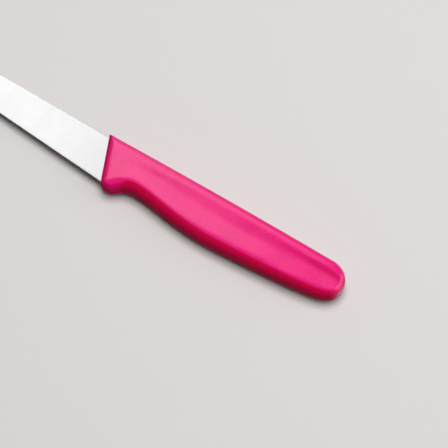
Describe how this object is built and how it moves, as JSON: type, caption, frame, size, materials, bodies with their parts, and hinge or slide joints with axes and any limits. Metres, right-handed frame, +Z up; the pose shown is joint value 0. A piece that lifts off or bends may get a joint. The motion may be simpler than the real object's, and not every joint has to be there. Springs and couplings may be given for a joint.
{
  "type": "vegetable knife",
  "caption": "Small vegetable knife with a flat-ground pointed steel blade whose tang is moulded into a rounded pink plastic handle with a finger guard.",
  "frame": {"origin": "middle of the bounding box in plan, on the surface that the knife lies on", "axes": "+X from the tip to the butt along the spine of the handle, +Y from the cutting edge to the spine, +Z up across the thickness of the handle"},
  "size_m": [0.189, 0.0192, 0.0115],
  "materials": {
    "blade_steel": "satin",
    "handle_plastic": "satin"
  },
  "bodies": {
    "root": {"blade": "blade_steel", "handle": "handle_plastic"}
  },
  "joints": []
}
